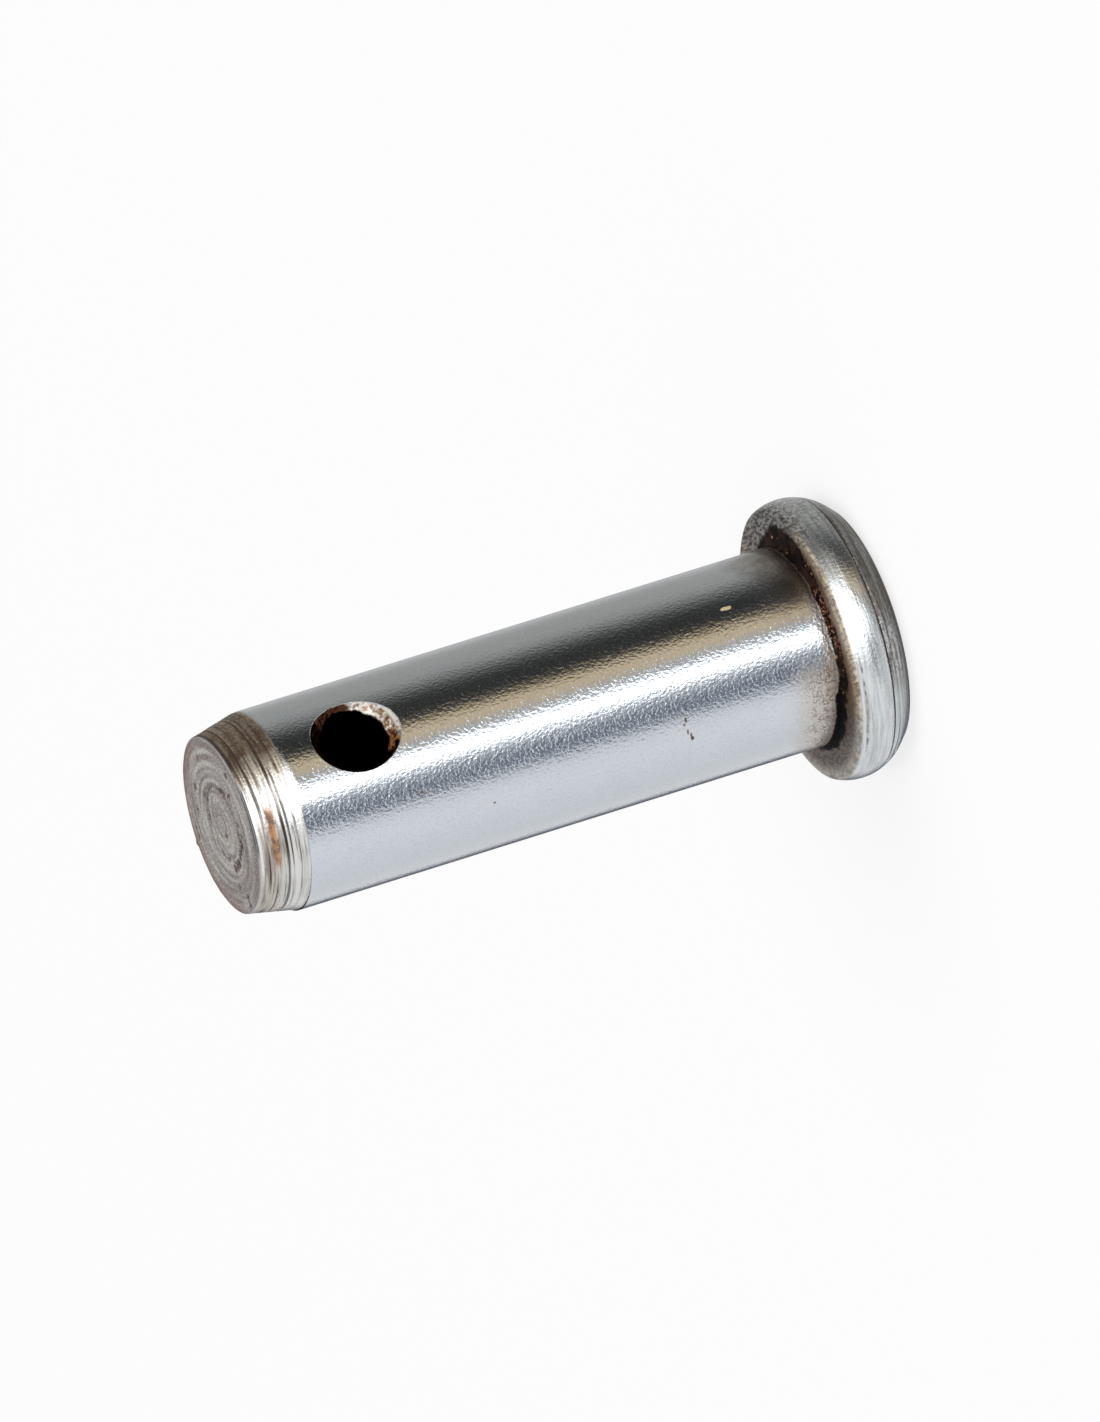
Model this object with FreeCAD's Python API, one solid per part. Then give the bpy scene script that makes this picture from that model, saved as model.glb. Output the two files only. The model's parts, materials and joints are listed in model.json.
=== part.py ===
import FreeCAD, Part
import math
import os

# A clevis pin in bright steel, turned from one piece, with a cross hole for a cotter.
# Sizes are in millimetres and angles in degrees. The pin stands on its head: the origin is
# the centre of the head's outer face, +Z runs up the shank and the cross hole runs along Y.

# Shank
shank_diameter = 7.87
under_head_length = 24.21     # bearing face to end face
corner_radius = 0.15          # fillet in the corner under the head

# Tapered point
point_length = 1.95
point_half_angle = 12.6       # between the taper and the pin's axis
end_edge_break = 0.05         # between the taper and the end face
point_groove_count = 3        # tool marks round the taper
point_groove_pitch = 0.48
point_groove_width = 0.14
point_groove_depth = 0.04

# Facing rings left by the tool on the end face
facing_ring_pitch = 0.42
facing_ring_width = 0.16
facing_ring_depth = 0.03

# Head
head_thickness = 2.37
head_overhang = 1.6           # widest circle of the rim, beyond the shank
widest_circle_depth = 0.89    # below the bearing face
bearing_edge_inset = 0.2      # edge of the bearing face before it is rounded, inside the widest circle
bearing_edge_round = 0.12
outer_edge_inset = 0.66       # edge of the outer face, inside the widest circle
outer_edge_break = 0.12
rim_groove_height = 0.9       # fine groove round the rim, above the outer face
rim_groove_width = 0.12
rim_groove_depth = 0.05

# Cross hole
hole_diameter = 2.64
hole_from_end = 5.05          # hole axis to end face
countersink_width = 0.48      # around the hole, at the crest of the shank
countersink_angle = 82.0      # whole angle of the cone

# Sizes that follow
shank_radius = shank_diameter / 2
bearing_height = head_thickness
end_height = bearing_height + under_head_length
point_height = end_height - point_length
taper_slope = math.tan(math.radians(point_half_angle))
end_face_radius = shank_radius - point_length * taper_slope
widest_radius = shank_radius + head_overhang
widest_height = bearing_height - widest_circle_depth
bearing_edge_radius = widest_radius - bearing_edge_inset
outer_face_radius = widest_radius - outer_edge_inset
hole_radius = hole_diameter / 2
hole_height = end_height - hole_from_end

AXIS_FOOT = FreeCAD.Vector(0, 0, 0)
UP = FreeCAD.Vector(0, 0, 1)


def profile_point(radius, height):
    """A point of the turned profile, which lies in the XZ plane."""
    return FreeCAD.Vector(radius, 0, height)


def line(start, end):
    """A straight stretch of the profile, from and to (radius, height)."""
    return Part.LineSegment(profile_point(*start), profile_point(*end)).toShape()


def arc(start, middle, end):
    """A round stretch of the profile through three (radius, height) points."""
    return Part.Arc(profile_point(*start), profile_point(*middle), profile_point(*end)).toShape()


def turned(edges):
    """The solid that a closed profile makes when it turns about the pin's axis."""
    return Part.Face(Part.Wire(edges)).revolve(AXIS_FOOT, UP, 360)


def corner():
    """Fillet of the profile between the bearing face and the shank."""
    centre_radius = shank_radius + corner_radius
    centre_height = bearing_height + corner_radius
    reach = corner_radius * math.sqrt(0.5)
    return arc((centre_radius, bearing_height),
               (centre_radius - reach, centre_height - reach),
               (shank_radius, centre_height))


def rim_crown():
    """Crowned arc of the rim, from the outer face over the widest circle to a sharp bearing edge."""
    return arc((outer_face_radius, outer_edge_break),
               (widest_radius, widest_height),
               (bearing_edge_radius, bearing_height))


def bearing_edge():
    """Round between rim and bearing face: where it leaves the rim, its middle and where it ends."""
    crown = rim_crown().Curve
    centre_height = bearing_height - bearing_edge_round
    reach = crown.Radius - bearing_edge_round
    lean = math.asin((centre_height - crown.Center.z) / reach)
    centre_radius = crown.Center.x + reach * math.cos(lean)

    def edge_point(turn):
        return (centre_radius + bearing_edge_round * math.cos(turn),
                centre_height + bearing_edge_round * math.sin(turn))

    return edge_point(lean), edge_point((lean + math.pi / 2) / 2), edge_point(math.pi / 2)


def turned_body():
    """Head, shank and point as they leave the lathe, with the sharp edges broken."""
    round_start, round_middle, round_end = bearing_edge()
    taper_top = (end_face_radius + end_edge_break * taper_slope, end_height - end_edge_break)
    return turned([
        line((0, 0), (outer_face_radius - outer_edge_break, 0)),
        line((outer_face_radius - outer_edge_break, 0), (outer_face_radius, outer_edge_break)),
        arc((outer_face_radius, outer_edge_break), (widest_radius, widest_height), round_start),
        arc(round_start, round_middle, round_end),
        line(round_end, (shank_radius + corner_radius, bearing_height)),
        corner(),
        line((shank_radius, bearing_height + corner_radius), (shank_radius, point_height)),
        line((shank_radius, point_height), taper_top),
        line(taper_top, (end_face_radius - end_edge_break, end_height)),
        line((end_face_radius - end_edge_break, end_height), (0, end_height)),
        line((0, end_height), (0, 0)),
    ])


def ring_groove(radius, height, outward, width, depth):
    """Cutter for a V groove round the pin, on a surface that faces outward degrees above level."""
    above_surface = 0.02
    out_radius = math.cos(math.radians(outward))
    out_height = math.sin(math.radians(outward))
    half_mouth = width / 2 * (depth + above_surface) / depth

    def corner_at(out, along):
        return (radius + out * out_radius - along * out_height,
                height + out * out_height + along * out_radius)

    bottom = corner_at(-depth, 0)
    lower_lip = corner_at(above_surface, -half_mouth)
    upper_lip = corner_at(above_surface, half_mouth)
    return turned([line(bottom, lower_lip), line(lower_lip, upper_lip), line(upper_lip, bottom)])


def point_grooves():
    """Tool marks round the taper, spaced down from the end face."""
    cutters = []
    for number in range(1, point_groove_count + 1):
        below_end = number * point_groove_pitch
        radius = end_face_radius + below_end * taper_slope
        cutters.append(ring_groove(radius, end_height - below_end, point_half_angle,
                                   point_groove_width, point_groove_depth))
    return cutters


def facing_rings():
    """Rings on the end face, spaced out from the axis."""
    outermost = end_face_radius - end_edge_break - facing_ring_width
    cutters = []
    for number in range(1, int(outermost / facing_ring_pitch) + 1):
        cutters.append(ring_groove(number * facing_ring_pitch, end_height, 90,
                                   facing_ring_width, facing_ring_depth))
    return cutters


def rim_groove():
    """Fine groove round the crowned rim."""
    crown = rim_crown().Curve
    lean = math.asin((rim_groove_height - crown.Center.z) / crown.Radius)
    radius = crown.Center.x + crown.Radius * math.cos(lean)
    return ring_groove(radius, rim_groove_height, math.degrees(lean), rim_groove_width, rim_groove_depth)


def countersink(side):
    """Cone that opens the hole where it leaves the shank on one side, -1 or 1 along Y."""
    spread = math.tan(math.radians(countersink_angle / 2))
    crest_radius = hole_radius + countersink_width
    above_crest = 0.5
    cone_height = crest_radius / spread + above_crest
    tip = FreeCAD.Vector(0, side * (shank_radius + above_crest - cone_height), hole_height)
    along = FreeCAD.Vector(0, side, 0)
    return Part.makeCone(0, cone_height * spread, cone_height, tip, along)


def cross_hole():
    """Drill through the shank with a countersink at both mouths."""
    overrun = 1.0
    length = shank_diameter + 2 * overrun
    start = FreeCAD.Vector(0, -length / 2, hole_height)
    drill = Part.makeCylinder(hole_radius, length, start, FreeCAD.Vector(0, 1, 0))
    return drill.fuse([countersink(-1), countersink(1)])


def clevis_pin():
    """The finished pin."""
    tool_marks = point_grooves() + facing_rings() + [rim_groove()]
    return turned_body().cut(tool_marks).cut(cross_hole())


os.makedirs("parts", exist_ok=True)
clevis_pin().exportStep("parts/clevis_pin.step")
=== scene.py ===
import json
import math

import bpy
from mathutils import Matrix, Vector, noise


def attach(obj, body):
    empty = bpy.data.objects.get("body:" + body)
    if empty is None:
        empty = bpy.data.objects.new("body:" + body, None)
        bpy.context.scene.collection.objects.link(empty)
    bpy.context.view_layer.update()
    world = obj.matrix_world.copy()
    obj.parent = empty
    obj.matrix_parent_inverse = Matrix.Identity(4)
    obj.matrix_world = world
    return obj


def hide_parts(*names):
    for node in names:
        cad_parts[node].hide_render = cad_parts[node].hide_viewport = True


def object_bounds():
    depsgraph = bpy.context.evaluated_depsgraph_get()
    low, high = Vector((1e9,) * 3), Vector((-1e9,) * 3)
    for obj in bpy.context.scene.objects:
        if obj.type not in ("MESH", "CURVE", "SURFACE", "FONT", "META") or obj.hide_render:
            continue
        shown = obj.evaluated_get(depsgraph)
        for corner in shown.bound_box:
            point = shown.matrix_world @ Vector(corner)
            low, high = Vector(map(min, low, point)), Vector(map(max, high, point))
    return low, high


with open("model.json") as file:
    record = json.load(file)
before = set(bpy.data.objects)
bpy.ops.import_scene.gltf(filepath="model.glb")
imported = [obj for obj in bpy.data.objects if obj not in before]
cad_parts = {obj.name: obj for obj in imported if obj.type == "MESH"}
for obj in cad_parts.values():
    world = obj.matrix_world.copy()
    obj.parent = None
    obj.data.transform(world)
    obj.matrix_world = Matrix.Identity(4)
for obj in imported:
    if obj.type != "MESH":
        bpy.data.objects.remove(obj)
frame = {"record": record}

cad_low, cad_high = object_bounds()

# Sizes read from the frame, in metres
MM = 0.001
mounts = {mount["name"]: mount for mount in frame["record"]["mounts"]}
shank_radius = mounts["shank"]["dims"]["r_mm"] * MM
shank_middle = mounts["shank"]["pos_m"][2]
shank_half = mounts["shank"]["dims"]["length_mm"] * MM / 2
shank_foot = shank_middle - shank_half
point_foot = shank_middle + shank_half
hole_radius = mounts["cotter_hole"]["dims"]["r_mm"] * MM
hole_height = mounts["cotter_hole"]["pos_m"][2]
bore_half = mounts["cotter_hole"]["dims"]["length_mm"] * MM / 2
bearing_height = mounts["head_bearing_face"]["pos_m"][2]
end_height = cad_high.z
widest_radius = cad_high.x

# Sizes of the finer forms, as in the solid
corner_radius = shank_foot - bearing_height
widest_height = bearing_height - 0.89 * MM
bearing_edge_radius = widest_radius - 0.2 * MM
outer_face_radius = widest_radius - 0.66 * MM
outer_edge_break = 0.12 * MM
rim_groove_height = 0.9 * MM
end_face_radius = 3.50 * MM
end_edge_break = 0.05 * MM
bearing_edge_round = 0.12 * MM
countersink_width = 0.48 * MM
countersink_lean = math.radians(41)

# Where the photograph looks from: azimuth round the pin, height above the floor, and the camera's roll
VIEW_AZIMUTH = -27.3
VIEW_ELEVATION = 18.66
VIEW_ROLL = 107.33
VIEW_DISTANCE = 1.4

# Level directions towards the camera's side and towards the picture's upper side
TOWARDS = Vector((math.sin(math.radians(VIEW_AZIMUTH)), -math.cos(math.radians(VIEW_AZIMUTH)), 0))
ASIDE = Vector((math.cos(math.radians(VIEW_AZIMUTH)), math.sin(math.radians(VIEW_AZIMUTH)), 0))

# Angle of the camera's side round the pin, from +X
CAMERA_TURN = VIEW_AZIMUTH - 90

# Light: what a white surface that faces it gets from the lamp and from the room
LAMP_LEVEL = 0.60
LAMP_AZIMUTH = 40
LAMP_ELEVATION = 74
LAMP_SPREAD = 44
LAMP_DISTANCE = 3.0
AMBIENT = 0.47

# Height of the steel's grain
GRAIN_HEIGHT = 0.0135 * MM

# The point was cut slightly out of line with the shank: the taper is shortest on this side
SHORT_SIDE = math.radians(CAMERA_TURN + 100)
POINT_RUNOUT = 0.17 * MM

# A burr stands out at the edge of the end face: where, how far round, how far along the surface, how high
BURR_TURN = math.radians(CAMERA_TURN + 186)
BURR_WIDTH = 0.10 * MM
BURR_LENGTH = 0.13 * MM
BURR_HEIGHT = 0.17 * MM

# Mesh fineness: points round the pin, rows along each region, rings round and in the cross hole
AROUND = 288
OUTER_FACE_ROWS = 14
RIM_ROWS = 56
BEARING_EDGE_ROWS = 9
BEARING_ROWS = 16
CORNER_ROWS = 8
SHANK_FOOT_ROWS = 10
SHANK_ROWS = 20
ABOVE_HOLE_ROWS = 4
POINT_ROWS = 54
END_FACE_ROWS = 62
MOUTH_RINGS = 10
SINK_RINGS = 7
BORE_RINGS = 34

# The mouths of the cross hole lie in square patches: half their width in points, half their height
PATCH_HALF = 24
PATCH_HALF_HEIGHT = 2.3 * MM
PATCH_START = math.radians(-135)

# Rows are closer over this height at the shank's foot
SHANK_FOOT_ZONE = 1.2 * MM

# Radius of the innermost ring of the end face, and how deep its middle lies
INNERMOST_RING = 0.05 * MM
MIDDLE_DEPTH = 0.02 * MM

# Edges sharper than this are shaded as edges
SHARP_ANGLE = math.radians(50)


def direction(azimuth, elevation):
    """Direction from the pin, by degrees round from the camera's side and degrees above level."""
    turn, rise = math.radians(azimuth), math.radians(elevation)
    level = TOWARDS * math.cos(turn) + ASIDE * math.sin(turn)
    return level * math.cos(rise) + Vector((0, 0, math.sin(rise)))


def new_object(name, data):
    """An object in the scene."""
    made = bpy.data.objects.new(name, data)
    bpy.context.scene.collection.objects.link(made)
    return made


# Turned profile

def circle_through(a, b, c):
    """Centre and radius of the circle through three (radius, height) points."""
    ax, ay = a
    bx, by = b
    cx, cy = c
    d = 2 * (ax * (by - cy) + bx * (cy - ay) + cx * (ay - by))
    a2, b2, c2 = ax * ax + ay * ay, bx * bx + by * by, cx * cx + cy * cy
    x = (a2 * (by - cy) + b2 * (cy - ay) + c2 * (ay - by)) / d
    y = (a2 * (cx - bx) + b2 * (ax - cx) + c2 * (bx - ax)) / d
    return (x, y), math.hypot(ax - x, ay - y)


def steps(start, end, count, skip_first=False):
    """Evenly spaced values from start to end, both included."""
    first = 1 if skip_first else 0
    return [start + (end - start) * i / count for i in range(first, count + 1)]


def notch(distance, width, depth):
    """Depth of a rounded V groove at a distance from its middle."""
    reach = abs(distance) / (width / 2)
    if reach >= 1:
        return 0.0
    return depth * (1 - reach) ** 1.3


class Row:
    """One ring of the lathe: where it lies, which way its surface faces and which region it is in."""

    def __init__(self, radius, height, out_radius, out_height, region):
        self.radius = radius
        self.height = height
        self.out = (out_radius, out_height)
        self.region = region


def outer_face_rows():
    flat_edge = outer_face_radius - outer_edge_break
    return [Row(radius, 0, 0, -1, "outer_face") for radius in steps(0, flat_edge, OUTER_FACE_ROWS, True)]


def arc_rows(centre, radius, start, end, count, region, skip_first=False):
    """Rows along an arc of the profile, between two angles above level."""
    rows = []
    for lean in steps(start, end, count, skip_first):
        rows.append(Row(centre[0] + radius * math.cos(lean), centre[1] + radius * math.sin(lean),
                        math.cos(lean), math.sin(lean), region))
    return rows


def rim_rows():
    """The crowned rim, and the rounded edge that leads from it into the bearing face."""
    lower = (outer_face_radius, outer_edge_break)
    upper = (bearing_edge_radius, bearing_height)
    centre, radius = circle_through(lower, (widest_radius, widest_height), upper)
    edge_height = bearing_height - bearing_edge_round - centre[1]
    edge_reach = math.sqrt((radius - bearing_edge_round) ** 2 - edge_height ** 2)
    edge_centre = (centre[0] + edge_reach, centre[1] + edge_height)
    start = math.atan2(lower[1] - centre[1], lower[0] - centre[0])
    meeting = math.atan2(edge_height, edge_reach)
    rows = arc_rows(centre, radius, start, meeting, RIM_ROWS, "rim")
    rows += arc_rows(edge_centre, bearing_edge_round, meeting, math.pi / 2, BEARING_EDGE_ROWS, "rim", True)
    return rows, edge_centre[0]


def bearing_rows(outermost):
    foot = shank_radius + corner_radius
    rows = [Row(radius, bearing_height, 0, 1, "bearing")
            for radius in steps(outermost, foot, BEARING_ROWS, True)]
    for turn in steps(0, math.pi / 2, CORNER_ROWS, True):
        rows.append(Row(foot - corner_radius * math.sin(turn),
                        bearing_height + corner_radius * (1 - math.cos(turn)),
                        math.sin(turn), math.cos(turn), "corner"))
    return rows


def shank_rows(low, high, count):
    return [Row(shank_radius, height, 1, 0, "shank") for height in steps(low, high, count, True)]


def point_rows():
    rows = []
    lean = math.atan2(shank_radius - end_face_radius, end_height - point_foot)
    top = end_height - end_edge_break
    for height in steps(point_foot, top, POINT_ROWS, True):
        share = (height - point_foot) / (end_height - point_foot)
        rows.append(Row(shank_radius + (end_face_radius - shank_radius) * share, height,
                        math.cos(lean), math.sin(lean), "point"))
    return rows


def end_face_rows():
    start = end_face_radius - end_edge_break
    return [Row(radius, end_height, 0, 1, "end_face")
            for radius in steps(start, INNERMOST_RING, END_FACE_ROWS)]


# Relief of the turned surfaces: how far each spot lies below the true surface, in millimetres

def wander(x, y, z, seed):
    """Smooth noise from -1 to 1 at a place given in millimetres."""
    return noise.noise(Vector((x + 17.3 * seed, y - 5.1 * seed, z + 3.7 * seed)))


def smooth(value, low, high):
    """Smooth step from 0 at low to 1 at high."""
    share = max(0.0, min(1.0, (value - low) / (high - low)))
    return share * share * (3 - 2 * share)


def picture_axes(spot):
    """A place as millimetres towards the camera's side and towards the picture's upper side."""
    return spot.dot(TOWARDS) / MM, spot.dot(ASIDE) / MM


# Grooves round the taper: below the end face, width, depth
POINT_GROOVES = [
    (0.18, 0.10, 0.024), (0.30, 0.08, 0.016), (0.43, 0.16, 0.040), (0.56, 0.08, 0.018),
    (0.70, 0.12, 0.032), (0.86, 0.08, 0.016), (1.00, 0.09, 0.022), (1.15, 0.16, 0.055),
    (1.32, 0.11, 0.040), (1.47, 0.08, 0.016), (1.61, 0.10, 0.028), (1.80, 0.07, 0.014),
]

# Grooves round the rim: height, width, depth
RIM_GROOVES = [(rim_groove_height / MM + 0.02, 0.16, 0.060), (0.66, 0.11, 0.036), (2.10, 0.08, 0.016)]

# Facing rings of the end face: their pitch, and the radii of two that are deeper
FACING_PITCH = 0.40
INNER_RING = 1.50
OUTER_RING = 3.02

# Pits in the end face: towards the camera's side, towards the picture's upper side, reach, depth
FACE_PITS = [
    (1.84, 0.94, 0.18, 0.06), (1.84, -0.19, 0.17, 0.05), (1.80, -0.64, 0.17, 0.05), (1.60, -0.91, 0.20, 0.07),
    (1.46, -1.06, 0.17, 0.05), (1.22, -1.21, 0.17, 0.06), (1.00, -1.36, 0.15, 0.05), (0.66, -1.58, 0.20, 0.07),
    (0.40, -1.68, 0.18, 0.06), (0.05, -1.74, 0.20, 0.06), (-0.30, -1.32, 0.15, 0.05), (-0.87, 1.32, 0.17, 0.05),
    (1.13, 1.25, 0.18, 0.06), (1.36, 1.12, 0.14, 0.05), (-1.70, 1.70, 0.18, 0.05), (2.20, 1.74, 0.17, 0.05),
    (0.19, -0.45, 0.14, 0.04), (-0.17, -2.45, 0.14, 0.04), (0.42, -2.94, 0.17, 0.05), (0.42, -3.25, 0.14, 0.05),
    (-2.10, -2.10, 0.17, 0.04), (-2.17, 0.83, 0.15, 0.04), (-0.40, 2.70, 0.14, 0.03), (-3.05, -0.10, 0.20, 0.04),
]


def point_relief(spot):
    """Turned grooves of the taper; they fade and wander a little on their way round."""
    x, y = spot.x / MM, spot.y / MM
    below_end = (end_height - spot.z) / MM
    depth = 0.0
    for number, (middle, width, deep) in enumerate(POINT_GROOVES):
        shift = 0.03 * wander(x * 0.35, y * 0.35, 0, number)
        strength = 0.8 + 0.9 * wander(x * 0.5, y * 0.5, 2, number + 20)
        depth += notch(below_end - middle - shift, width, deep * max(0.1, strength))
    fine = wander(x * 0.4, y * 0.4, below_end * 14, 3)
    torn = wander(x * 5, y * 5, below_end * 12, 4)
    return depth + 0.005 * (1 + fine) + 0.003 * (1 + torn)


def face_ring(u, v):
    """Distance from the middle of the facing rings, which drift to one side near the axis."""
    radius = math.hypot(u, v)
    drift = 0.42 * (1 - smooth(radius, 0.9, 2.1))
    return math.hypot(u - drift, v)


def end_face_relief(spot):
    """Facing rings of the end face: uneven ridges that wind slightly outwards, with torn pits."""
    u, v = picture_axes(spot)
    radius = face_ring(u, v)
    winding = math.atan2(v, u) / math.tau * 0.10
    warped = radius + 0.07 * wander(u * 0.7, v * 0.7, 0, 5) + winding
    ring = 0.5 + 0.5 * math.cos(math.tau * warped / FACING_PITCH)
    uneven = 0.60 + 0.95 * wander(u * 0.45, v * 0.45, radius * 2.4, 6)
    fine = wander(u * 0.8, v * 0.8, radius * 8, 7)
    torn = wander(u * 5, v * 5, radius * 6, 8)
    depth = 0.024 * ring * max(0.1, uneven) + 0.010 * (1 + fine) + 0.007 * (1 + torn)
    inner_dashes = smooth(wander(u * 1.9, v * 1.9, 4, 13), -0.15, 0.25)
    depth += notch(radius - INNER_RING, 0.24, 0.040 * inner_dashes)
    outer_dashes = smooth(wander(u * 0.9, v * 0.9, 9, 18), -0.10, 0.20) * smooth(u, 0.6, -1.2)
    depth += notch(radius - OUTER_RING, 0.20, 0.040 * outer_dashes)
    for pit_u, pit_v, reach, deep in FACE_PITS:
        away = math.hypot(u - pit_u, v - pit_v) * (1 + 0.4 * wander(u * 6, v * 6, 0, 16)) / reach
        if away < 1:
            depth += deep * (1 - away * away)
    return depth


def rim_relief(spot):
    """Grooves and faint marks round the rim."""
    x, y = spot.x / MM, spot.y / MM
    height = spot.z / MM
    depth = 0.0
    for number, (middle, width, deep) in enumerate(RIM_GROOVES):
        shift = 0.02 * wander(x * 0.3, y * 0.3, 0, number + 30)
        strength = 0.8 + 0.7 * wander(x * 0.4, y * 0.4, 1, number + 40)
        depth += notch(height - middle - shift, width, deep * max(0.2, strength))
    fine = wander(x * 0.25, y * 0.25, height * 9, 10)
    dents = wander(x * 1.5, y * 1.5, height * 1.5, 17)
    return depth + 0.0030 * (1 + fine) + 0.0035 * (1 + dents)


def bearing_relief(spot):
    """Rough forged ring under the head."""
    x, y = spot.x / MM, spot.y / MM
    return 0.010 * (1 + wander(x * 2.2, y * 2.2, 0, 11)) + 0.007 * (1 + wander(x * 6, y * 6, 0, 12))


RELIEFS = {"point": point_relief, "end_face": end_face_relief, "rim": rim_relief, "bearing": bearing_relief}


def place(row, turn):
    """Where a row's point lies at an angle round the pin, with its relief, and how deep that is."""
    height = row.height
    radius = row.radius
    if row.region == "point":
        share = (end_height - height) / (end_height - point_foot)
        height += POINT_RUNOUT * math.cos(turn - SHORT_SIDE) * share
    spot = Vector((radius * math.cos(turn), radius * math.sin(turn), height))
    depth = RELIEFS[row.region](spot) if row.region in RELIEFS else 0.0
    out = Vector((row.out[0] * math.cos(turn), row.out[0] * math.sin(turn), row.out[1]))
    return spot - out * depth * MM + burr(row, turn), depth


def burr(row, turn):
    """A small spike of metal left at the edge of the end face."""
    if row.region not in ("point", "end_face"):
        return Vector((0, 0, 0))
    away = (turn - BURR_TURN + math.pi) % math.tau - math.pi
    across = away * end_face_radius / BURR_WIDTH
    along = math.hypot(row.radius - end_face_radius, row.height - end_height) / BURR_LENGTH
    reach = BURR_HEIGHT * math.exp(-across * across - along * along)
    return Vector((math.cos(turn), math.sin(turn), 0)) * reach


# What each point tells the material: how deep its relief is, and which region it is in
POINT_VALUES = ("groove", "face", "point", "bore", "sink", "rim")


class Skin:
    """Collects the points, faces and per-point values of the pin's surface."""

    def __init__(self):
        self.points = []
        self.faces = []
        self.values = {name: [] for name in POINT_VALUES}

    def add(self, spot, **values):
        self.points.append(spot)
        for name, column in self.values.items():
            column.append(values.get(name, 0.0))
        return len(self.points) - 1

    def band(self, lower, upper):
        """Quads between two closed loops of points."""
        count = len(lower)
        for i in range(count):
            j = (i + 1) % count
            self.faces.append((lower[i], lower[j], upper[j], upper[i]))

    def cap(self, loop, middle):
        """Triangles from a closed loop to its middle point."""
        count = len(loop)
        for i in range(count):
            self.faces.append((loop[i], loop[(i + 1) % count], middle))


# Regions that the material tells apart by a value of their points
REGION_VALUES = {"rim": {"rim": 1.0}, "point": {"point": 1.0}, "end_face": {"face": 1.0}}


def lathe_ring(skin, row):
    """Adds a row's points, all the way round."""
    ring = []
    for i in range(AROUND):
        spot, depth = place(row, math.tau * i / AROUND)
        ring.append(skin.add(spot, groove=depth, **REGION_VALUES.get(row.region, {})))
    return ring


def rim_of_hole(turn):
    """Distance from the hole's axis, and out from the pin's axis, of the countersink's edge."""
    reach = hole_radius + countersink_width
    for _ in range(12):
        out = math.sqrt(shank_radius ** 2 - (reach * math.cos(turn)) ** 2)
        reach = hole_radius + (out - bore_half) * math.tan(countersink_lean)
    return reach, out


def hole_turn(i, count):
    """Angle round the hole's axis of a ring's point; the first lies at the patch's lower left corner."""
    return math.tau * (i / count) + PATCH_START


def patch_loop(grid, side):
    """The boundary of the square patch round one mouth, starting at its lower left corner."""
    middle = AROUND * 3 // 4 if side < 0 else AROUND // 4
    step = 1 if side < 0 else -1

    def column(offset):
        return (middle + step * offset) % AROUND

    last = 2 * PATCH_HALF
    loop = [grid[0][column(j - PATCH_HALF)] for j in range(last)]
    loop += [grid[k][column(PATCH_HALF)] for k in range(last)]
    loop += [grid[last][column(PATCH_HALF - j)] for j in range(last)]
    loop += [grid[last - k][column(-PATCH_HALF)] for k in range(last)]
    return loop


def in_patch(i):
    """True for a quad of the hole zone, counted round the pin, that a mouth's patch replaces."""
    for middle in (AROUND * 3 // 4, AROUND // 4):
        offset = (i - middle + AROUND // 2) % AROUND - AROUND // 2
        if -PATCH_HALF <= offset < PATCH_HALF:
            return True
    return False


# Roughness of the cross hole's wall, in millimetres
WALL_ROUGHNESS = 0.09


def wall_spot(turn, reach, along, roughness):
    """A spot of the cross hole's rough wall, by its angle round the hole's axis and its distance from it."""
    x, z = reach * math.cos(turn), reach * math.sin(turn)
    coarse = wander(x / MM * 2.5, along / MM * 2.5, z / MM * 2.5, 14)
    fine = wander(x / MM * 7, along / MM * 7, z / MM * 7, 15)
    scale = 1 + roughness * (coarse + 0.5 * fine) * MM / reach
    return Vector((x * scale, along, hole_height + z * scale))


def mouth_rings(skin, loop, side):
    """Rings on the shank from the patch's square boundary to the countersink's edge."""
    count = len(loop)
    rings = []
    square = []
    for index in loop:
        spot = skin.points[index]
        square.append((math.asin(max(-1.0, min(1.0, spot.x / shank_radius))), spot.z - hole_height))
    for number in range(1, MOUTH_RINGS + 1):
        # The rings crowd towards the edge
        share = 1 - (1 - number / MOUTH_RINGS) ** 1.4
        ring = []
        for i in range(count):
            turn = hole_turn(i, count)
            reach, _ = rim_of_hole(turn)
            edge = (math.asin(reach * math.cos(turn) / shank_radius), reach * math.sin(turn))
            swing = square[i][0] * (1 - share) + edge[0] * share
            rise = square[i][1] * (1 - share) + edge[1] * share
            spot = Vector((shank_radius * math.sin(swing), side * shank_radius * math.cos(swing),
                           hole_height + rise))
            ring.append(skin.add(spot))
        rings.append(ring)
    return rings


def bore_rings(skin, count):
    """Rings down the front countersink, through the bore and up the back countersink."""
    sinks = []
    for side in (-1, 1):
        rings = []
        for number in range(1, SINK_RINGS + 1):
            share = number / SINK_RINGS
            roughness = WALL_ROUGHNESS * min(1.0, 1.4 * share)
            values = {"sink": 1.0} if share < 1 else {"sink": 0.5, "bore": 0.5}
            ring = []
            for i in range(count):
                turn = hole_turn(i, count)
                edge_reach, out = rim_of_hole(turn)
                reach = edge_reach * (1 - share) + hole_radius * share
                along = side * (out * (1 - share) + bore_half * share)
                ring.append(skin.add(wall_spot(turn, reach, along, roughness), **values))
            rings.append(ring)
        sinks.append(rings)
    middle = []
    for number in range(1, BORE_RINGS):
        along = -bore_half + 2 * bore_half * number / BORE_RINGS
        middle.append([skin.add(wall_spot(hole_turn(i, count), hole_radius, along, WALL_ROUGHNESS), bore=1.0)
                       for i in range(count)])
    return sinks[0] + middle + sinks[1][::-1]


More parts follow.
